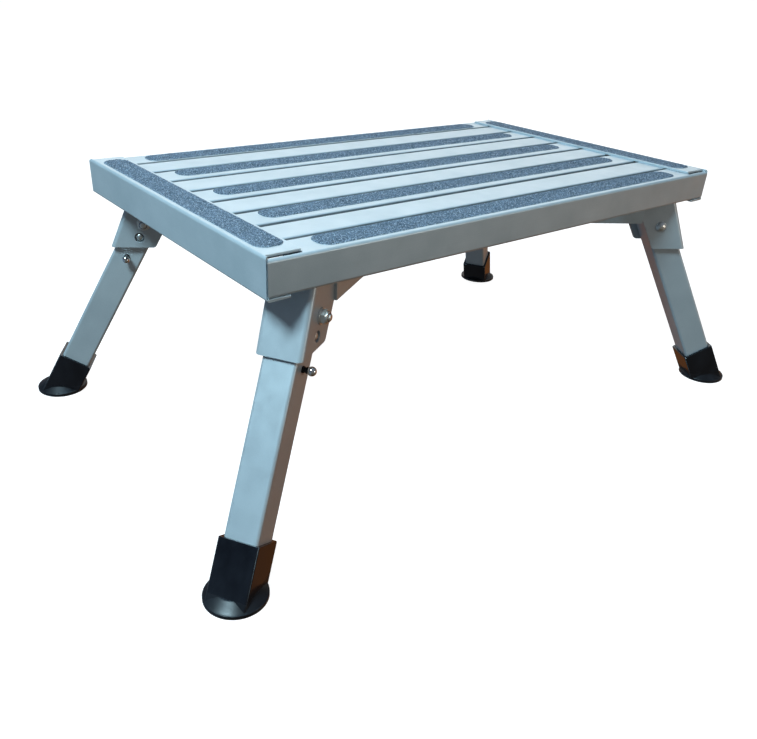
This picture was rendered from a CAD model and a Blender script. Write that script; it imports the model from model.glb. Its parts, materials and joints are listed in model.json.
"""Looks of the folding platform step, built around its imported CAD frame. Metres, Z up."""
import json
import math

import bmesh
import bpy
import numpy as np
from mathutils import Matrix, Vector


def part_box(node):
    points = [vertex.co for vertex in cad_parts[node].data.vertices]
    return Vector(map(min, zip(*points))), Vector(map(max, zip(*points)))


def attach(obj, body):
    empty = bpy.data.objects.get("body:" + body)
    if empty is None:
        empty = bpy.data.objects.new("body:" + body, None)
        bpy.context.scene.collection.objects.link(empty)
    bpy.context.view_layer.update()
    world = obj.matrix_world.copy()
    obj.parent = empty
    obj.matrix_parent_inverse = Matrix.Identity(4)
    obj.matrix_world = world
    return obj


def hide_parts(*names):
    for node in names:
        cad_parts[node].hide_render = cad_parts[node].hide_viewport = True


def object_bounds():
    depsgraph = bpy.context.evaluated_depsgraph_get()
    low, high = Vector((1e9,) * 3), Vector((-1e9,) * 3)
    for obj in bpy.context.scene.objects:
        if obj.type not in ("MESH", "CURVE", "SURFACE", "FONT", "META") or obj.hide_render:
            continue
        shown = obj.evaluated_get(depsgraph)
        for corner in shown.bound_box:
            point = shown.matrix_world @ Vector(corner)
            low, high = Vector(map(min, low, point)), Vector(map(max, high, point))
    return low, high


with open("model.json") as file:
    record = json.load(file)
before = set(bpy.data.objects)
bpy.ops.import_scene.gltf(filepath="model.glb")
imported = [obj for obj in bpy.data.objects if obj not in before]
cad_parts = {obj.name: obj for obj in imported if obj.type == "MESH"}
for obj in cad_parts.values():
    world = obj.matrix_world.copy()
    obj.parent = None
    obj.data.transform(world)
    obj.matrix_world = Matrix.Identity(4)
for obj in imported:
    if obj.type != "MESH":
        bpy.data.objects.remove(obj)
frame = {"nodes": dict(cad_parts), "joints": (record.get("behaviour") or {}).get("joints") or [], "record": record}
CAD_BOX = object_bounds()
RECORD = frame["record"]
MM = 0.001

CORNERS = ("fl", "bl", "fr", "br")
JOINTS = {joint["name"]: joint for joint in frame["joints"]}
MOUNTS = {mount["name"]: mount for mount in RECORD["mounts"]}

# ---------------------------------------------------------------- dimensions

SHEET = 2 * MM
SHEET_ROUNDING = 0.35 * MM
GRIME_DEPTH = 0.6 * MM

TUBE_W = 26.5 * MM
PLATE_GAP = 30 * MM
PLATE_OUT = 18 * MM
CHANNEL_OUT = 20.5 * MM
CHANNEL_RUN = (22 * MM, 140 * MM)

BOLT_R = 3 * MM
BOLT_HEAD = (5.25 * MM, 3 * MM)
BOLT_END = 25.7 * MM
THREAD_PITCH = 1 * MM
THREAD_DEPTH = 0.45 * MM
WASHER_R = 6.2 * MM
WASHER_T = 1.2 * MM
NUT_W = 10 * MM
NUT_T = 5 * MM
NUT_HEX = 3.7 * MM
BUSH_FLANGE_R = 7 * MM
BUSH_R = 4 * MM
RIVET_SPOTS = ((-27.5 * MM, 23 * MM), (-31 * MM, 30 * MM))
RIVET_R = 2 * MM
RIVET_HEAD = (3.6 * MM, 1.4 * MM)

PIN_DROP = 14.5 * MM
PIN_X = -2 * MM
PIN_R = 2.9 * MM
PIN_TIP = PLATE_OUT - 0.4 * MM
LEAF = (12 * MM, 0.8 * MM)
LEAF_SPAN = (-84 * MM, -9 * MM)
LEAF_Y = 11.65 * MM
KNOB_DROP = 39 * MM
STEM_R = 2.4 * MM
BALL_R = 3.5 * MM
BALL_Y = TUBE_W / 2 + 6.7 * MM

BOOT_W = 31.7 * MM
BOOT_WALL = 2.6 * MM
BOOT_L = 41 * MM
BOOT_R = 1.5 * MM
BASE_R = 23.5 * MM
BASE_T = 3.5 * MM
CONE_R = 15 * MM
CONE_TOP = 8.5 * MM

GRIP_T = 0.8 * MM
GRIP_R = 9 * MM
GRIT_CELL = 0.85 * MM


def axes_matrix(x, y, z, origin):
    matrix = Matrix((x, y, z)).transposed().to_4x4()
    matrix.translation = origin
    return matrix


def corner_frames(corner):
    """(corner, leg, ground) matrices: x outwards and y to the knob side. Corner and leg start at
    the pivot, and the leg's z leans with it. Ground stands upright where the leg's axis lands."""
    joint = JOINTS["leg_fold_" + corner]
    pivot = Vector(joint["pos_m"])
    side = Vector(joint["axis"]).normalized()
    up = Vector((0, 0, 1))
    foot = Vector(MOUNTS["foot_rest_" + corner]["pos_m"])
    leg_up = (pivot - foot).normalized()
    upright = axes_matrix(side.cross(up), side, up, pivot)
    leaning = axes_matrix(side.cross(leg_up), side, leg_up, pivot)
    return upright, leaning, axes_matrix(side.cross(up), side, up, foot)


# ---------------------------------------------------------------- mesh tools

def new_object(name, bm):
    mesh = bpy.data.meshes.new(name)
    bm.normal_update()
    bm.to_mesh(mesh)
    bm.free()
    obj = bpy.data.objects.new(name, mesh)
    bpy.context.scene.collection.objects.link(obj)
    return obj


def coordinates(mesh):
    flat = np.empty(len(mesh.vertices) * 3, np.float32)
    mesh.vertices.foreach_get("co", flat)
    return flat.reshape(-1, 3)


def place(obj, matrix):
    """Moves a mesh from its own frame to the object's. The attribute local keeps the old place,
    for grain that follows the piece."""
    layer = obj.data.attributes.new("local", "FLOAT_VECTOR", "POINT")
    layer.data.foreach_set("vector", coordinates(obj.data).ravel())
    obj.data.transform(matrix)


def store_edge(mesh, values):
    """The attribute edge is 1 where a piece wears bare, and 0 elsewhere."""
    layer = mesh.attributes.new("edge", "FLOAT", "POINT")
    layer.data.foreach_set("value", np.asarray(values, np.float32))


def store_grime(node, mesh):
    """The attribute grime is 1 in the grooves: on the walls of the slats, and on the side rails'
    inner walls."""
    place = coordinates(mesh)
    low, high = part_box(node)
    deep = place[:, 2] < high.z - GRIME_DEPTH
    if node in ("front_rail", "rear_rail"):
        deep &= np.abs(place[:, 1]) < min(abs(low.y), abs(high.y)) + 1.2 * SHEET
    layer = mesh.attributes.new("grime", "FLOAT", "POINT")
    layer.data.foreach_set("value", deep.astype(np.float32))


def apply_modifiers(obj):
    graph = bpy.context.evaluated_depsgraph_get()
    mesh = bpy.data.meshes.new_from_object(obj.evaluated_get(graph), depsgraph=graph)
    old = obj.data
    obj.modifiers.clear()
    obj.data = mesh
    bpy.data.meshes.remove(old)


def shade(obj, angle=32):
    """Smooth faces with true flats: sharp edges stay sharp and big faces carry the normals."""
    mesh = obj.data
    mesh.polygons.foreach_set("use_smooth", [True] * len(mesh.polygons))
    bm = bmesh.new()
    bm.from_mesh(mesh)
    limit = math.radians(angle)
    for edge in bm.edges:
        edge.smooth = edge.is_manifold and edge.calc_face_angle(0) < limit
    bm.to_mesh(mesh)
    bm.free()
    modifier = obj.modifiers.new("normals", "WEIGHTED_NORMAL")
    modifier.keep_sharp = True
    apply_modifiers(obj)


def cad_bmesh(node, matrix):
    """A CAD node's mesh in a local frame, with its flat faces whole again."""
    bm = bmesh.new()
    bm.from_mesh(frame["nodes"][node].data)
    bm.transform(matrix.inverted())
    bmesh.ops.remove_doubles(bm, verts=bm.verts, dist=2e-6)
    bmesh.ops.dissolve_limit(bm, angle_limit=math.radians(0.4), verts=bm.verts, edges=bm.edges)
    return bm


def round_edges(bm, width, keep, angle=30):
    """Rounds the sharp edges but those that keep picks; returns for each vertex 1 inside a
    rounding, else 0."""
    limit = math.radians(angle)
    sharp = [e for e in bm.edges if e.is_manifold and e.calc_face_angle(0) > limit and not keep(e)]
    made = bmesh.ops.bevel(bm, geom=sharp, offset=width, offset_type="OFFSET", segments=2,
                           profile=0.5, affect="EDGES", clamp_overlap=False, loop_slide=True)
    rounded = set(made["faces"])
    bm.verts.index_update()
    return [1.0 if all(face in rounded for face in v.link_faces) else 0.0 for v in bm.verts]


def dress(obj, material, body, *nodes):
    """Gives a finished piece its material, its body and the CAD nodes it stands for."""
    obj.data.materials.clear()
    obj.data.materials.append(material)
    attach(obj, body)
    if nodes:
        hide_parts(*nodes)
    return obj


def finished(node, matrix, material, body, width=SHEET_ROUNDING, keep=lambda edge: False):
    """A finer copy of a CAD node: its own shape, with its sharp edges rounded."""
    bm = cad_bmesh(node, matrix)
    worn = round_edges(bm, width, keep)
    obj = new_object(node + "_finish", bm)
    store_edge(obj.data, worn)
    place(obj, matrix)
    if node.startswith("slat_") or node in ("front_rail", "rear_rail"):
        store_grime(node, obj.data)
    shade(obj)
    return dress(obj, material, body, node)


def turned(name, bm, matrix, material, body, *nodes):
    """A piece made in a corner's own frame."""
    obj = new_object(name, bm)
    place(obj, matrix)
    shade(obj)
    return dress(obj, material, body, *nodes)


# ---------------------------------------------------------------- material tools

class Nodes:
    """A node tree in the making. Each call adds a node and gives back its output."""

    def __init__(self, tree, shader):
        self.tree = tree
        self.shader = tree.nodes[shader]

    def put(self, socket, value):
        self.connect(self.shader, socket, value)

    def connect(self, node, socket, value):
        if isinstance(value, bpy.types.NodeSocket):
            self.tree.links.new(value, node.inputs[socket])
        else:
            node.inputs[socket].default_value = value

    def node(self, kind, inputs, output=0, **settings):
        made = self.tree.nodes.new("ShaderNode" + kind)
        for key, value in settings.items():
            setattr(made, key, value)
        for socket, value in inputs.items():
            self.connect(made, socket, value)
        return made.outputs[output]

    def noise(self, vector, size, detail=3.0, rough=0.5):
        """Cloudy values from 0 to 1 whose blots are about size metres across."""
        inputs = {"Vector": vector, "Scale": 1 / size, "Detail": detail, "Roughness": rough}
        return self.node("TexNoise", inputs)

    def cells(self, vector, size, output="Color"):
        return self.node("TexVoronoi", {"Vector": vector, "Scale": 1 / size}, output)

    def span(self, value, low, high, to_low=0.0, to_high=1.0):
        inputs = {"Value": value, "From Min": low, "From Max": high, "To Min": to_low, "To Max": to_high}
        return self.node("MapRange", inputs)

    def math(self, kind, first, second):
        return self.node("Math", {0: first, 1: second}, operation=kind)

    def mix(self, share, first, second):
        colours = [(*c, 1) if isinstance(c, tuple) and len(c) == 3 else c for c in (first, second)]
        return self.node("Mix", {0: share, 6: colours[0], 7: colours[1]}, 2, data_type="RGBA")

    def bump(self, height, depth, strength=1.0, below=None):
        inputs = {"Height": height, "Distance": depth, "Strength": strength}
        if below is not None:
            inputs["Normal"] = below
        return self.node("Bump", inputs)


class Look(Nodes):
    """A material in the making."""

    def __init__(self, name, slot, **sockets):
        self.material = bpy.data.materials.new(name)
        self.material.use_nodes = True
        self.material["slot"] = slot
        super().__init__(self.material.node_tree, "Principled BSDF")
        for socket, value in sockets.items():
            self.put(socket.replace("_", " "), value)

    def local(self, stretch=(1, 1, 1)):
        """The place on the piece in metres, squeezed along some axes so that grain runs long."""
        place = self.node("Attribute", {}, "Vector", attribute_name="local")
        return self.node("VectorMath", {0: place, 1: stretch}, operation="MULTIPLY")

    def edge(self):
        return self.node("Attribute", {}, "Fac", attribute_name="edge")


# ---------------------------------------------------------------- materials

def coated_metal(name, slot, light, dark, stretch):
    """Satin coat over aluminium: cloudy tone, faint drawn lines, orange peel, bare worn edges."""
    look = Look(name, slot, Metallic=0.38, IOR=1.5)
    place = look.local()
    drawn = look.noise(look.local(stretch), 0.9 * MM, 4)
    cloud = look.noise(place, 38 * MM, 3)
    fleck = look.noise(place, 0.32 * MM, 2)
    tone = look.mix(look.span(cloud, 0.3, 0.7), dark, light)
    tone = look.mix(look.span(drawn, 0.35, 0.7, 0.0, 0.22), tone, dark)
    tone = look.mix(look.span(fleck, 0.6, 0.75, 0.0, 0.35), tone, (0.86, 0.9, 0.93))
    smudge = look.span(look.noise(place, 17 * MM, 5, 0.6), 0.62, 0.8, 0.0, 0.16)
    tone = look.mix(smudge, tone, (0.36, 0.37, 0.36))
    worn = look.math("MULTIPLY", look.edge(), look.span(look.noise(place, 6 * MM, 5, 0.65), 0.4, 0.62))
    tone = look.mix(look.math("MULTIPLY", worn, 0.75), tone, (0.9, 0.92, 0.93))
    dust = look.span(look.noise(place, 12 * MM, 4, 0.6), 0.2, 0.7, 0.6, 0.85)
    grime = look.math("MULTIPLY", look.node("Attribute", {}, "Fac", attribute_name="grime"), dust)
    look.put("Base Color", look.mix(grime, tone, (0.07, 0.085, 0.1)))
    satin = look.span(look.noise(place, 9 * MM, 4), 0.3, 0.7, 0.34, 0.44)
    look.put("Roughness", look.math("SUBTRACT", satin, look.math("MULTIPLY", worn, 0.12)))
    peel = look.bump(look.noise(place, 1.3 * MM, 2), 0.05 * MM, 0.35)
    look.put("Normal", look.bump(drawn, 0.03 * MM, 0.3, peel))
    return look.material


def grit_coat():
    """Mineral grit on a dark backing: grains of mixed tone with a few bright ones."""
    look = Look("grit_coat", "grit", IOR=1.45)
    place = look.local()
    grain = look.node("SeparateColor", {"Color": look.cells(place, 0.65 * MM)})
    small = look.cells(place, 0.65 * MM, "Distance")
    tone = look.mix(look.span(grain, 0.25, 0.85), (0.03, 0.043, 0.062), (0.19, 0.26, 0.35))
    tone = look.mix(look.span(grain, 0.91, 0.96), tone, (0.42, 0.5, 0.57))
    cloud = look.span(look.noise(place, 24 * MM, 4, 0.6), 0.35, 0.7, 0.0, 0.5)
    tone = look.mix(cloud, tone, (0.15, 0.2, 0.26))
    scuff = look.math("MULTIPLY", look.edge(), look.span(look.noise(place, 2.2 * MM, 4, 0.7), 0.5, 0.62))
    look.put("Base Color", look.mix(scuff, tone, (0.6, 0.66, 0.7)))
    look.put("Roughness", look.span(grain, 0.8, 0.95, 0.85, 0.4))
    coarse = look.bump(small, 0.3 * MM, 0.8)
    look.put("Normal", look.bump(look.noise(place, 0.3 * MM, 2), 0.1 * MM, 0.6, coarse))
    return look.material


def gloss_rubber():
    """Moulded black feet: glossy, with faint flow marks, fine scratches and dust low down."""
    look = Look("gloss_rubber", "boot", IOR=1.5)
    place = look.local()
    flow = look.noise(look.local((1, 1, 0.35)), 11 * MM, 3)
    tone = look.mix(look.span(flow, 0.35, 0.7), (0.003, 0.0035, 0.006), (0.008, 0.009, 0.013))
    dust = look.span(look.noise(place, 3 * MM, 6, 0.7), 0.62, 0.85, 0.0, 0.12)
    tone = look.mix(dust, tone, (0.12, 0.12, 0.115))
    rubbed = look.math("MULTIPLY", look.edge(), look.span(look.noise(place, 4 * MM, 3), 0.3, 0.55, 0.3, 1.0))
    look.put("Base Color", look.mix(rubbed, tone, (0.24, 0.25, 0.27)))
    scratch = look.noise(look.local((1, 1, 0.06)), 0.5 * MM, 3)
    gloss = look.span(look.math("MULTIPLY", flow, scratch), 0.15, 0.4, 0.1, 0.24)
    height = look.node("SeparateXYZ", {"Vector": place}, "Z")
    matt = look.span(height, CONE_TOP, CONE_TOP + 1 * MM, 0.25, 0.0)
    look.put("Roughness", look.math("ADD", gloss, matt))
    waves = look.bump(flow, 0.25 * MM, 0.25)
    look.put("Normal", look.bump(scratch, 0.015 * MM, 0.2, waves))
    return look.material


def plated_steel(name, slot, bright, dull, rough, stretch=(1, 1, 1)):
    """Plated steel with turning lines and cloudy tarnish."""
    look = Look(name, slot, Metallic=1.0)
    place = look.local()
    cloud = look.noise(place, 2.4 * MM, 4, 0.6)
    look.put("Base Color", look.mix(look.span(cloud, 0.35, 0.7), bright, dull))
    turned = look.noise(look.local(stretch), 0.35 * MM, 3)
    look.put("Roughness", look.span(cloud, 0.3, 0.7, rough, rough * 1.7))
    look.put("Normal", look.bump(turned, 0.02 * MM, 0.3))
    return look.material


def moulded_plastic():
    look = Look("moulded_plastic", "bush_plastic", IOR=1.48)
    place = look.local()
    spark = look.noise(place, 0.25 * MM, 3)
    cloud = look.span(look.noise(place, 2 * MM, 3), 0.3, 0.7)
    look.put("Base Color", look.mix(cloud, (0.03, 0.03, 0.033), (0.07, 0.07, 0.075)))
    look.put("Roughness", look.span(spark, 0.3, 0.7, 0.5, 0.7))
    look.put("Normal", look.bump(spark, 0.04 * MM, 0.5))
    return look.material


def nylon():
    look = Look("nylon_ring", "bush_plastic", IOR=1.53)
    place = look.local()
    cloud = look.span(look.noise(place, 0.8 * MM, 3), 0.3, 0.7)
    look.put("Base Color", look.mix(cloud, (0.04, 0.09, 0.2), (0.07, 0.13, 0.27)))
    look.put("Roughness", look.span(cloud, 0.0, 1.0, 0.32, 0.5))
    return look.material


def weld_metal():
    """Aluminium weld: bright ripples with sooty hollows."""
    look = Look("weld_metal", "deck_metal", Metallic=0.8)
    place = look.local()
    soot = look.span(look.noise(place, 1.5 * MM, 4, 0.6), 0.35, 0.7)
    look.put("Base Color", look.mix(soot, (0.74, 0.76, 0.78), (0.4, 0.41, 0.42)))
    look.put("Roughness", look.span(soot, 0.0, 1.0, 0.3, 0.55))
    look.put("Normal", look.bump(look.noise(place, 0.5 * MM, 3), 0.08 * MM, 0.5))
    return look.material


ALONG_X = (0.02, 1, 1)
ALONG_Z = (1, 1, 0.02)
DECK_COAT = coated_metal("deck_coat", "deck_metal", (0.6, 0.66, 0.7), (0.5, 0.57, 0.61), ALONG_X)
LEG_COAT = coated_metal("leg_coat", "leg_metal", (0.57, 0.625, 0.66), (0.49, 0.545, 0.585), ALONG_Z)
GRIT = grit_coat()
BOOT = gloss_rubber()
ZINC = plated_steel("zinc_plate", "zinc", (0.88, 0.89, 0.88), (0.72, 0.72, 0.68), 0.3)
SPRING_STEEL = plated_steel("spring_steel", "zinc", (0.55, 0.57, 0.6), (0.42, 0.42, 0.43), 0.28, ALONG_Z)
CHROME = plated_steel("chrome", "knob_chrome", (0.92, 0.93, 0.94), (0.85, 0.86, 0.87), 0.05)
BLACK_STEEL = plated_steel("black_steel", "black_steel", (0.05, 0.05, 0.055), (0.025, 0.022, 0.02), 0.3)
BUSH = moulded_plastic()
NYLON = nylon()
WELD = weld_metal()


# ---------------------------------------------------------------- shapes

def ring(bm, points):
    return [bm.verts.new(point) for point in points]


def skin(bm, loops, closed=False):
    """Joins neighbouring loops of equal length with quads; a one-vertex loop closes to a point."""
    pairs = list(zip(loops, loops[1:]))
    if closed:
        pairs.append((loops[-1], loops[0]))
    for low, high in pairs:
        count = max(len(low), len(high))
        for i in range(count):
            j = (i + 1) % count
            corners = [low[i % len(low)], low[j % len(low)], high[j % len(high)], high[i % len(high)]]
            bm.faces.new(list(dict.fromkeys(corners)))


def spun(bm, outline, steps=48, closed=False):
    """Turns an outline of (radius, height) points about Z. A radius may be a function of the angle."""
    loops = []
    for radius, height in outline:
        if radius == 0:
            loops.append(ring(bm, [(0, 0, height)]))
            continue
        angles = [math.tau * i / steps for i in range(steps)]
        sizes = [radius(a) if callable(radius) else radius for a in angles]
        loops.append(ring(bm, [(r * math.cos(a), r * math.sin(a), height) for r, a in zip(sizes, angles)]))
    skin(bm, loops, closed)
    return bm


def lathed(outline, steps=48, closed=False):
    """A turned part whose axis is Y and whose outline runs from low to high y."""
    bm = spun(bmesh.new(), outline, steps, closed)
    bm.transform(Matrix.Rotation(-math.pi / 2, 4, "X"))
    bmesh.ops.recalc_face_normals(bm, faces=bm.faces)
    return bm


def arc(radius, centre_r, centre_h, start, end, steps=6):
    """Points of an arc in an outline, with angles in degrees from the radius' direction."""
    turns = [math.radians(start + (end - start) * i / steps) for i in range(steps + 1)]
    return [(centre_r + radius * math.cos(a), centre_h + radius * math.sin(a)) for a in turns]


def dome(radius, height, base, steps=8):
    """Outline of a low dome on the height base, from its rim to its tip."""
    ball = (radius**2 + height**2) / (2 * height)
    rim = math.asin(radius / ball)
    turns = [rim * (1 - i / steps) for i in range(steps)]
    return [(ball * math.sin(a), base + height - ball + ball * math.cos(a)) for a in turns] + [(0, base + height)]


def soft_square(width, radius, height, steps=6):
    """Points of a square with round corners, about the origin."""
    inner = width / 2 - radius
    points = []
    for quarter, (sx, sy) in enumerate(((1, 1), (-1, 1), (-1, -1), (1, -1))):
        for i in range(steps + 1):
            a = math.radians(90 * (quarter + i / steps))
            points.append((sx * inner + radius * math.cos(a), sy * inner + radius * math.sin(a), height))
    return points


def boolean(obj, other, operation):
    modifier = obj.modifiers.new(operation.lower(), "BOOLEAN")
    modifier.operation = operation
    modifier.object = other
    modifier.solver = "EXACT"
    apply_modifiers(obj)
    bpy.data.objects.remove(other)


# ---------------------------------------------------------------- deck

def grip_outline(length, width):
    """Columns of a strip as (place along it, half width), with round corners at both ends."""
    half = width / 2
    turn = np.linspace(0, math.pi / 2, 15)
    tip = length / 2 - GRIP_R + GRIP_R * np.cos(turn)
    tip_half = half - GRIP_R + GRIP_R * np.sin(turn)
    straight = np.linspace(tip[-1], -tip[-1], round(2 * tip[-1] / GRIT_CELL))[1:-1]
    along = np.concatenate((tip, straight, -tip[::-1]))
    halves = np.concatenate((tip_half, np.full(len(straight), half), tip_half[::-1]))
    return along, halves


def grip_bmesh(length, width, rng):
    """A grit strip along X: a grid of grains of random height on a flat closed backing."""
    along, halves = grip_outline(length, width)
    columns, rows = len(along), round(width / GRIT_CELL) + 1
    across = np.linspace(-1, 1, rows)
    x = np.repeat(along[:, None], rows, 1)
    y = halves[:, None] * across[None, :]
    z = GRIP_T * (0.45 + 0.55 * rng.random((columns, rows)) ** 2.2)
    inner = (slice(1, -1), slice(1, -1))
    shape = (columns - 2, rows - 2)
    x[inner] += GRIT_CELL * 0.22 * rng.uniform(-1, 1, shape)
    y[inner] += GRIT_CELL * 0.22 * rng.uniform(-1, 1, shape)
    rim = np.ones((columns, rows), bool)
    rim[inner] = False
    z[rim] *= 0.6
    top = np.stack((x, y, z), -1).reshape(-1, 3)
    sides = [np.stack((along, s * halves, np.zeros(columns)), -1) for s in (-1, 1)]
    points = np.concatenate((top, *sides))
    low, high = columns * rows, columns * rows + columns
    faces = []
    for i in range(columns - 1):
        a, b = i * rows, (i + 1) * rows
        faces += [(a + j, b + j, b + j + 1, a + j + 1) for j in range(rows - 1)]
        faces.append((a, low + i, low + i + 1, b))
        faces.append((a + rows - 1, b + rows - 1, high + i + 1, high + i))
        faces.append((low + i, high + i, high + i + 1, low + i + 1))
    faces.append([*range(rows), high, low])
    last = (columns - 1) * rows
    faces.append([*range(last, last + rows), high + columns - 1, low + columns - 1])
    mesh = bpy.data.meshes.new("grip")
    mesh.from_pydata(points.tolist(), [], faces)
    bm = bmesh.new()
    bm.from_mesh(mesh)
    bpy.data.meshes.remove(mesh)
    bmesh.ops.recalc_face_normals(bm, faces=bm.faces)
    return bm, rim


def grip_strip(node, seed):
    low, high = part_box(node)
    size = high - low
    turn = Matrix.Rotation(math.pi / 2 if size.y > size.x else 0, 4, "Z")
    middle = (low + high) / 2
    middle.z = low.z
    sides = max(size.x, size.y), min(size.x, size.y)
    bm, rim = grip_bmesh(*sides, np.random.default_rng(seed))
    obj = new_object(node + "_finish", bm)
    bare = np.concatenate((rim.ravel(), np.zeros(len(obj.data.vertices) - rim.size, bool)))
    store_edge(obj.data, bare)
    place(obj, Matrix.Translation(middle) @ turn)
    shade(obj, 50)
    dress(obj, GRIT, "deck", node)


def weld_bead(bm, start, end, radius):
    """A rippled bead from start to end, half sunk in the sheets that it joins."""
    way = end - start
    turn = way.to_track_quat("Z", "Y").to_matrix()
    count = max(8, round(way.length / (0.28 * MM)))
    loops = []
    for i in range(count + 1):
        share = i / count
        ripple = 0.84 + 0.16 * abs(math.sin(math.pi * share * way.length / (1.5 * MM)))
        taper = min(1, 0.35 + 3.2 * math.sqrt(min(share, 1 - share)))
        middle = start + way * share
        size = radius * ripple * taper
        angles = [math.tau * k / 10 for k in range(10)]
        loops.append(ring(bm, [middle + turn @ Vector((size * math.cos(a), size * math.sin(a), 0)) for a in angles]))
    bm.faces.new(loops[0])
    bm.faces.new(loops[-1])
    skin(bm, loops)


def corner_welds(bm):
    """Beads under the deck's four corners, where the feet of the rails cross."""
    low, high = deck_box()
    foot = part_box("front_rail")[0].z
    for sx in (-1, 1):
        for sy in (-1, 1):
            x = sx * (high.x - END_FOOT)
            outer, inner = sy * (high.y - 2 * SHEET), sy * (high.y - SIDE_FOOT)
            weld_bead(bm, Vector((x, outer, foot)), Vector((x, inner, foot)), 1.5 * MM)


def channel_welds(bm, corner):
    """Short beads where a channel's side walls cross under the walls of the slats."""
    upright = corner_frames(corner)[0]
    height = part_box("slat_1")[0].z
    walls = []
    for i in range(1, 8):
        low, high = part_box(f"slat_{i}")
        walls += [low.y + SHEET / 2, high.y - SHEET / 2]
    for side in (-1, 1):
        near, far = [upright @ Vector((-run, side * CHANNEL_OUT, 0)) for run in CHANNEL_RUN]
        for wall in walls:
            share = (wall - near.y) / (far.y - near.y)
            if 0.06 < share < 0.94:
                spot = near.lerp(far, share)
                spot.z = height
                reach = (far - near).normalized() * 3.5 * MM
                weld_bead(bm, spot - reach, spot + reach, 1.5 * MM)


def deck_box():
    lows, highs = zip(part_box("left_end_rail"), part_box("right_end_rail"))
    return Vector(map(min, *lows)), Vector(map(max, *highs))


END_FOOT = 18 * MM
SIDE_FOOT = 16 * MM
CORNER_ZONE = 4 * MM


def in_deck_corner(edge):
    """True for an edge of a rail's mitre, in a frame level with the deck."""
    along, across = deck_box()[1].xy
    reach = [sorted((abs(v.co.x), abs(v.co.y))) for v in edge.verts]
    return all(small > across - CORNER_ZONE and large > along - CORNER_ZONE for small, large in reach)


def build_deck():
    level = Matrix.Identity(4)
    across = Matrix.Rotation(math.pi / 2, 4, "Z")
    for node in ("left_end_rail", "right_end_rail"):
        finished(node, across, DECK_COAT, "deck", keep=in_deck_corner)
    for node in ("front_rail", "rear_rail"):
        finished(node, level, DECK_COAT, "deck", keep=in_deck_corner)
    for i in range(1, 8):
        finished(f"slat_{i}", level, DECK_COAT, "deck")
    strips = [node for node in frame["nodes"] if node.startswith("grip_")]
    for seed, node in enumerate(sorted(strips)):
        grip_strip(node, 100 + seed)
    bm = bmesh.new()
    corner_welds(bm)
    for corner in CORNERS:
        channel_welds(bm, corner)
    bmesh.ops.recalc_face_normals(bm, faces=bm.faces)
    turned("weld_beads", bm, level, WELD, "deck")


# ---------------------------------------------------------------- pivots and rivets

def thread_radius(height):
    """Radius of the bolt's thread at a height along it, as a function of the angle."""
    def radius(angle):
        turn = height / THREAD_PITCH - angle / math.tau
        return BOLT_R - THREAD_DEPTH * abs(2 * (turn % 1) - 1)
    return radius


def bolt_bmesh():
    """Domed head towards -y, and a thread where the end shows past the nut."""
    head_r, head_h = BOLT_HEAD
    head = [(r, -h) for r, h in dome(head_r, head_h, PLATE_OUT + 0.3 * MM)]
    head[-1] = (0, -PLATE_OUT - head_h)
    outline = [point for point in reversed(head)]
    outline += [(head_r, -PLATE_OUT - 0.1 * MM), (head_r - 0.2 * MM, -PLATE_OUT), (BOLT_R, -PLATE_OUT)]
    start, end = BOLT_END - 4 * MM, BOLT_END - 0.7 * MM
    outline += [(BOLT_R, start - 0.5 * MM)]
    heights = np.arange(start, end, THREAD_PITCH / 10)
    outline += [(thread_radius(h), h) for h in heights]
    outline += [(BOLT_R - 0.3 * MM, end + 0.15 * MM), (BOLT_R - 0.9 * MM, BOLT_END - 0.05 * MM)]
    outline += [(BOLT_R - 1.1 * MM, BOLT_END), (0, BOLT_END)]
    return lathed(outline, 60)


def hex_radius(cone):
    """Radius of a hexagon's outline, cut back where a chamfer's cone is smaller."""
    def radius(angle):
        flat = (NUT_W / 2) / math.cos((angle + math.pi / 6) % (math.pi / 3) - math.pi / 6)
        return min(flat, cone)
    return radius


def nut_bmesh():
    """A lock nut: a hexagon chamfered at both ends, then a round collar."""
    base = PLATE_OUT + WASHER_T
    bore = BOLT_R + 0.1 * MM
    tall = NUT_W / 2 / math.cos(math.pi / 6)
    outline = [(bore, base), (NUT_W / 2 - 0.25 * MM, base)]
    outline += [(hex_radius(NUT_W / 2 + i * 0.2 * MM), base + i * 0.12 * MM) for i in range(5)]
    outline += [(hex_radius(tall), base + 0.55 * MM), (hex_radius(tall), base + NUT_HEX - 0.55 * MM)]
    outline += [(hex_radius(NUT_W / 2 + i * 0.2 * MM), base + NUT_HEX - i * 0.12 * MM) for i in range(4, -1, -1)]
    outline += [(NUT_W / 2 - 0.45 * MM, base + NUT_HEX)]
    outline += arc(0.8 * MM, NUT_W / 2 - 1.25 * MM, base + NUT_T - 0.8 * MM, 0, 90, 5)
    outline += [(bore + 0.45 * MM, base + NUT_T), (bore + 0.35 * MM, base + NUT_T - 0.3 * MM)]
    outline += [(bore, base + NUT_T - 0.35 * MM)]
    return lathed(outline, 72, closed=True)


def washer_bmesh():
    inner, outer, soft = BOLT_R + 0.1 * MM, WASHER_R, 0.3 * MM
    outline = [(inner, PLATE_OUT), (outer - 0.1 * MM, PLATE_OUT)]
    outline += arc(soft, outer - soft, PLATE_OUT + WASHER_T - soft, 0, 90, 4)
    outline += [(inner, PLATE_OUT + WASHER_T)]
    return lathed(outline, 56, closed=True)


def nylon_bmesh():
    end = PLATE_OUT + WASHER_T + NUT_T
    inner, outer = BOLT_R + 0.02 * MM, BOLT_R + 0.44 * MM
    outline = [(inner, end - 0.34 * MM), (outer, end - 0.3 * MM), (outer, end - 0.12 * MM), (inner, end - 0.1 * MM)]
    return lathed(outline, 48, closed=True)


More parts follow.
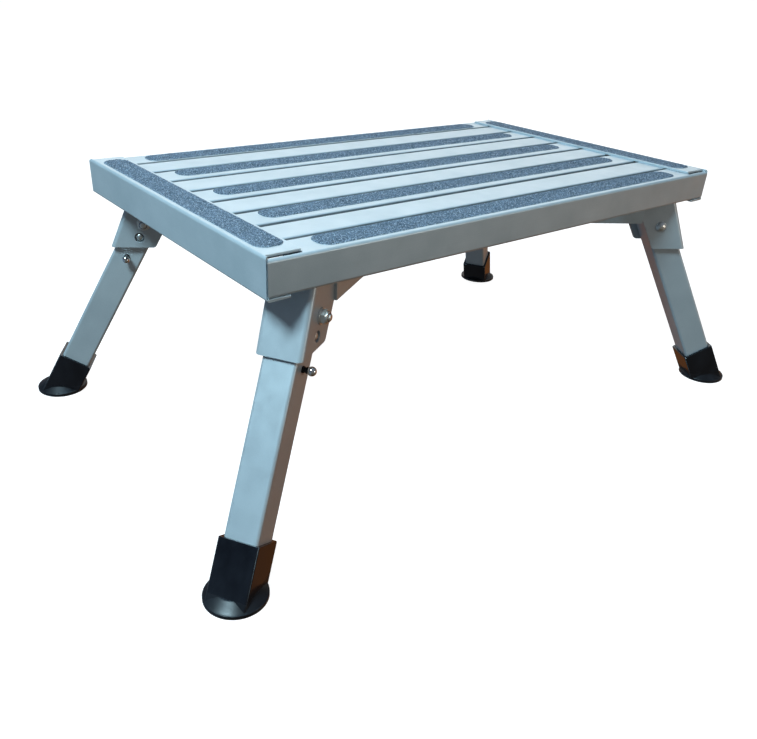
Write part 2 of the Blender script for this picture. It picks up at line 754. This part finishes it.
def bush_bmesh():
    """One flanged bush on the side of +y."""
    face, soft = TUBE_W / 2, 0.3 * MM
    bore, end = BOLT_R + 0.05 * MM, PLATE_GAP / 2 - 0.1 * MM
    outline = [(bore, face - 3 * MM), (BUSH_R - soft, face - 3 * MM), (BUSH_R, face - 3 * MM + soft)]
    outline += [(BUSH_R, face), (BUSH_FLANGE_R, face)]
    outline += arc(soft, BUSH_FLANGE_R - soft, end - soft, 0, 90, 4)
    outline += [(bore, end)]
    return lathed(outline, 56, closed=True)


def rivet_bmesh():
    """One rivet on the side of +y: shop head inside the plates, dome outside the channel."""
    head_r, head_h = RIVET_HEAD
    inside = PLATE_GAP / 2
    outline = [(0, inside - head_h / 2), (head_r - 0.4 * MM, inside - head_h / 2)]
    outline += [(head_r, inside - 0.3 * MM), (head_r, inside), (RIVET_R, inside), (RIVET_R, CHANNEL_OUT)]
    outline += [(head_r, CHANNEL_OUT)] + dome(head_r, head_h, CHANNEL_OUT, 7)[1:]
    return lathed(outline, 40)


def build_pivot(corner):
    upright, leaning, _ = corner_frames(corner)
    turned("bolt_" + corner, bolt_bmesh(), upright, ZINC, "deck", "pivot_bolt_" + corner)
    turned("nut_" + corner, nut_bmesh(), upright, ZINC, "deck", "pivot_nut_" + corner)
    turned("washer_" + corner, washer_bmesh(), upright, ZINC, "deck")
    turned("nut_ring_" + corner, nylon_bmesh(), upright, NYLON, "deck")
    half_turn = Matrix.Rotation(math.pi, 4, "Z")
    turned("bush_knob_side_" + corner, bush_bmesh(), leaning, BUSH, "leg_" + corner, "pivot_bush_" + corner)
    turned("bush_plain_side_" + corner, bush_bmesh(), leaning @ half_turn, BUSH, "leg_" + corner)


def build_rivets():
    bm = bmesh.new()
    for corner in CORNERS:
        upright = corner_frames(corner)[0]
        for x, z in RIVET_SPOTS:
            for turn in (0, math.pi):
                spot = upright @ Matrix.Translation((x, 0, z)) @ Matrix.Rotation(turn, 4, "Z")
                one = rivet_bmesh()
                one.transform(spot)
                mesh = bpy.data.meshes.new("rivet")
                one.to_mesh(mesh)
                one.free()
                bm.from_mesh(mesh)
                bpy.data.meshes.remove(mesh)
    turned("rivets", bm, Matrix.Identity(4), ZINC, "deck", "bracket_rivets")


# ---------------------------------------------------------------- locks

def leaf_bmesh():
    """The spring's strip: slightly bowed, with round ends, flat against the tube's inner wall."""
    width, thick = LEAF
    low, high = LEAF_SPAN
    steps = 40
    loops = []
    bm = bmesh.new()
    for i in range(steps + 1):
        share = i / steps
        z = low + (high - low) * share
        from_end = min(z - low, high - z)
        cut = min(1.0, max(0.0, 1 - from_end / (width / 2)))
        half = max(0.6 * MM, width / 2 * math.sqrt(1 - cut * cut))
        bow = 0.35 * MM * math.sin(math.pi * share)
        outer = LEAF_Y - bow
        loops.append(ring(bm, [(-half, outer - thick, z), (half, outer - thick, z), (half, outer, z), (-half, outer, z)]))
    skin(bm, loops)
    bm.faces.new(loops[0])
    bm.faces.new(loops[-1])
    bmesh.ops.recalc_face_normals(bm, faces=bm.faces)
    return bm


def pin_bmesh():
    """The lock pin, riveted to the leaf, with a rounded tip that stops inside the plate."""
    start = LEAF_Y - LEAF[1] - 0.5 * MM
    outline = [(0, start), (PIN_R - 0.3 * MM, start), (PIN_R, start + 0.3 * MM)]
    outline += [(PIN_R, PIN_TIP - 1 * MM)]
    outline += dome(PIN_R, 1 * MM, PIN_TIP - 1 * MM, 7)[1:]
    return lathed(outline, 40)


def stem_bmesh():
    """The knob's dark stem, with a collar that meets the tube and a neck at the ball."""
    start = LEAF_Y - 0.1 * MM
    outline = [(0, start), (STEM_R, start), (STEM_R, TUBE_W / 2 + 1.2 * MM)]
    outline += [(STEM_R - 0.5 * MM, TUBE_W / 2 + 1.5 * MM), (STEM_R - 0.5 * MM, TUBE_W / 2 + 2.4 * MM)]
    outline += [(STEM_R, TUBE_W / 2 + 2.7 * MM), (STEM_R, BALL_Y), (0, BALL_Y)]
    return lathed(outline, 40)


def ball_bmesh():
    """The ball, with the stem's bore in its back."""
    rim = math.degrees(math.asin((STEM_R + 0.02 * MM) / BALL_R))
    outline = [(0, BALL_Y + 0.02 * MM), (STEM_R + 0.02 * MM, BALL_Y + 0.02 * MM)]
    outline += arc(BALL_R, 0, BALL_Y, rim - 90, 90, 20)[:-1]
    outline += [(0, BALL_Y + BALL_R)]
    return lathed(outline, 48)


def build_lock(corner):
    leaning = corner_frames(corner)[1]
    body = "lock_" + corner
    turned("leaf_" + corner, leaf_bmesh(), leaning, SPRING_STEEL, body, "lock_spring_" + corner)
    at_pin = leaning @ Matrix.Translation((PIN_X, 0, -PIN_DROP))
    turned("pin_" + corner, pin_bmesh(), at_pin, ZINC, body)
    at_knob = leaning @ Matrix.Translation((0, 0, -KNOB_DROP))
    turned("stem_" + corner, stem_bmesh(), at_knob, BLACK_STEEL, body, "lock_stem_" + corner)
    turned("ball_" + corner, ball_bmesh(), at_knob, CHROME, body, "lock_knob_" + corner)


# ---------------------------------------------------------------- legs

def sleeve_bmesh(leg_l):
    """The foot's square sleeve along the leg, with a soft rim and the socket for the tube."""
    top, low = BOOT_L - leg_l, -leg_l - 2 * BASE_R
    inner_w = BOOT_W - 2 * BOOT_WALL
    soft = 0.6 * MM
    bm = bmesh.new()
    loops = [ring(bm, soft_square(BOOT_W, BOOT_R, low))]
    loops += [ring(bm, soft_square(BOOT_W, BOOT_R, top - soft))]
    for share in (0.33, 0.67, 1.0):
        turn = share * math.pi / 2
        inset = soft * (1 - math.cos(turn))
        loops += [ring(bm, soft_square(BOOT_W - 2 * inset, BOOT_R, top - soft + soft * math.sin(turn)))]
    loops += [ring(bm, soft_square(inner_w + 0.5 * MM, 2.6 * MM, top))]
    loops += [ring(bm, soft_square(inner_w + 0.1 * MM, 2.5 * MM, top - 0.3 * MM))]
    loops += [ring(bm, soft_square(inner_w + 0.1 * MM, 2.5 * MM, top - 24 * MM))]
    skin(bm, loops)
    bm.faces.new(loops[0])
    bm.faces.new(loops[-1])
    return bm


def base_bmesh():
    """The foot's round base: a rim, a slope up to the sleeve, and tread rings below."""
    soft = 0.8 * MM
    outline = [(0, 0.8 * MM), (5 * MM, 0.8 * MM), (5.4 * MM, 0)]
    for middle in (8.5 * MM, 13.5 * MM, 18.5 * MM):
        outline += [(middle - 1.3 * MM, 0), (middle - 0.9 * MM, 0.8 * MM)]
        outline += [(middle + 0.9 * MM, 0.8 * MM), (middle + 1.3 * MM, 0)]
    outline += [(BASE_R - 0.5 * MM, 0), (BASE_R, 0.5 * MM)]
    outline += arc(soft, BASE_R - soft, BASE_T - soft, 0, 100, 6)
    outline += [(CONE_R, CONE_TOP - 0.2 * MM), (CONE_R - 0.6 * MM, CONE_TOP), (0, CONE_TOP)]
    return spun(bmesh.new(), outline, 96)


def sleeve_corners(mesh, to_leg):
    """1 along the middle of the sleeve's four rounded corners, above the base, else 0."""
    place = coordinates(mesh)
    to_leg = np.array(to_leg)
    x, y = np.abs(place @ to_leg[:2, :3].T + to_leg[:2, 3]).T - (BOOT_W / 2 - BOOT_R)
    turn = np.degrees(np.arctan2(y, x))
    return (x > 0) & (y > 0) & (np.abs(turn - 45) < 12) & (place[:, 2] > CONE_TOP)


def build_foot(corner):
    _, leaning, ground = corner_frames(corner)
    leg_l = (leaning.translation - ground.translation).length
    sleeve = sleeve_bmesh(leg_l)
    sleeve.transform(ground.inverted() @ leaning)
    parts = [*sleeve.verts, *sleeve.edges, *sleeve.faces]
    cut = bmesh.ops.bisect_plane(sleeve, geom=parts, plane_co=(0, 0, 1 * MM), plane_no=(0, 0, -1), clear_outer=True)
    rim = [part for part in cut["geom_cut"] if isinstance(part, bmesh.types.BMEdge)]
    bmesh.ops.contextual_create(sleeve, geom=rim)
    bmesh.ops.recalc_face_normals(sleeve, faces=sleeve.faces)
    base = base_bmesh()
    bmesh.ops.recalc_face_normals(base, faces=base.faces)
    foot = new_object("foot_" + corner, sleeve)
    boolean(foot, new_object("base", base), "UNION")
    store_edge(foot.data, sleeve_corners(foot.data, leaning.inverted() @ ground))
    place(foot, ground)
    shade(foot, 22)
    dress(foot, BOOT, "leg_" + corner, "leg_foot_" + corner)


def build_leg(corner):
    upright, leaning, _ = corner_frames(corner)
    finished("leg_channel_" + corner, upright, DECK_COAT, "deck")
    finished("leg_bracket_" + corner, leaning, LEG_COAT, "deck")
    finished("leg_tube_" + corner, leaning, LEG_COAT, "leg_" + corner, 0.25 * MM)


# ---------------------------------------------------------------- studio

FLOOR_R = 12
COVE_R = 5
WALL_TOP = 16
KEY_FROM = Vector((-0.61, -0.18, 0.77))
BACK_FROM = Vector((0.56, 0.68, 0.48))
TOP_FROM = Vector((-0.12, 0.2, 0.95))
FRONT_FROM = Vector((0.46, -0.88, 0.12))
WARM_FROM = Vector((0.95, -0.25, -0.15))


def build_floor():
    """A pale round floor that curves up into a wall, far outside the lights."""
    outline = [(0, 0)] + [(0.5 * 2**i, 0) for i in range(4)]
    outline += arc(COVE_R, FLOOR_R - COVE_R, COVE_R, -90, 0, 12) + [(FLOOR_R, WALL_TOP)]
    floor = new_object("studio_floor", spun(bmesh.new(), outline, 64))
    look = Look("floor_paint", "floor", Roughness=0.8)
    cloud = look.noise(look.node("TexCoord", {}, "Object"), 0.6, 3)
    look.put("Base Color", look.mix(cloud, (0.3, 0.302, 0.305), (0.34, 0.342, 0.344)))
    look.put("Emission Color", (1.0, 1.0, 1.0, 1))
    look.put("Emission Strength", 0.96)
    floor.data.materials.append(look.material)
    floor.visible_diffuse = False
    floor.visible_glossy = False
    floor.visible_shadow = False


COOL_LOBE = (-0.85, 0.52, 0)
WARM_LOBE = (0.85, 0.53, 0)
SKY = (0.15, 0.18, 0.22)
GROUND = (0.1, 0.093, 0.075)
UNDER = (0.05, 0.035, 0.022)
COOL = (0.13, 0.19, 0.25)
NAVY = (0.06, 0.08, 0.11)
WARM = (0.26, 0.1, 0.035)


def build_world():
    """Dim light from all round: cool on the left, and brown low on the right, as off a wooden floor."""
    world = bpy.data.worlds.new("studio")
    world.use_nodes = True
    nodes = Nodes(world.node_tree, "Background")
    way = nodes.node("TexCoord", {}, "Generated")
    height = nodes.node("SeparateXYZ", {"Vector": way}, "Z")
    ground = nodes.mix(nodes.span(height, -0.9, -0.45), UNDER, GROUND)
    light = nodes.mix(nodes.span(height, -0.25, 0.9), ground, SKY)
    left = nodes.node("VectorMath", {0: way, 1: COOL_LOBE}, "Value", operation="DOT_PRODUCT")
    cool = nodes.mix(nodes.span(height, 0.0, 0.35), COOL, NAVY)
    light = nodes.mix(nodes.span(left, 0.1, 0.75), light, cool)
    right = nodes.node("VectorMath", {0: way, 1: WARM_LOBE}, "Value", operation="DOT_PRODUCT")
    low = nodes.span(height, 0.1, -0.15)
    light = nodes.mix(nodes.math("MULTIPLY", nodes.span(right, 0.3, 0.7), low), light, WARM)
    nodes.put("Color", light)
    bpy.context.scene.world = world


def area_light(name, way, distance, size, power, colour):
    """A soft box that looks at the middle of the step from a direction."""
    light = bpy.data.lights.new(name, "AREA")
    light.shape = "RECTANGLE"
    light.size, light.size_y = size
    light.energy = power
    light.color = colour
    obj = bpy.data.objects.new(name, light)
    middle = (CAD_BOX[0] + CAD_BOX[1]) / 2
    obj.location = middle + way.normalized() * distance
    obj.rotation_euler = way.to_track_quat("Z", "Y").to_euler()
    obj.visible_camera = False
    bpy.context.scene.collection.objects.link(obj)


def build_lights():
    area_light("key", KEY_FROM, 1.7, (0.42, 0.42), 32, (0.6, 0.88, 1.0))
    area_light("back", BACK_FROM, 2.2, (2.6, 1.5), 14.5, (1.0, 0.97, 0.92))
    area_light("top", TOP_FROM, 1.5, (0.38, 0.38), 3.7, (0.35, 0.68, 1.0))
    area_light("front", FRONT_FROM, 2.0, (0.5, 0.5), 4.3, (1.0, 0.92, 0.8))
    area_light("warm", WARM_FROM, 1.3, (1.3, 0.5), 0.3, (1.0, 0.55, 0.3))


CAMERA_AZIMUTH = 39.34
CAMERA_ELEVATION = 28.94
CAMERA_ROLL = 2.99
CAMERA_DISTANCE = 0.7546
CAMERA_AIM = Vector((-0.0603, -0.0196, 0.022))
CAMERA_LENS = 35.43
CAMERA_SHIFT = (0.0141, 0.0188)


def build_camera():
    data = bpy.data.cameras.new("camera")
    data.lens = CAMERA_LENS
    data.sensor_width = 36
    data.shift_x, data.shift_y = CAMERA_SHIFT
    data.clip_start, data.clip_end = 0.01, 100
    camera = bpy.data.objects.new("camera", data)
    azimuth, elevation = math.radians(CAMERA_AZIMUTH), math.radians(CAMERA_ELEVATION)
    flat = math.cos(elevation)
    ahead = Vector((math.sin(azimuth) * flat, math.cos(azimuth) * flat, -math.sin(elevation)))
    camera.location = CAMERA_AIM - ahead * CAMERA_DISTANCE
    turn = ahead.to_track_quat("-Z", "Y").to_matrix().to_4x4()
    roll = Matrix.Rotation(math.radians(CAMERA_ROLL), 4, "Z")
    camera.rotation_euler = (turn @ roll).to_euler()
    bpy.context.scene.collection.objects.link(camera)
    bpy.context.scene.camera = camera


build_deck()
build_rivets()
for name in CORNERS:
    build_pivot(name)
    build_lock(name)
    build_leg(name)
    build_foot(name)
build_floor()
build_world()
build_lights()
build_camera()
bpy.context.scene.view_settings.view_transform = "Standard"
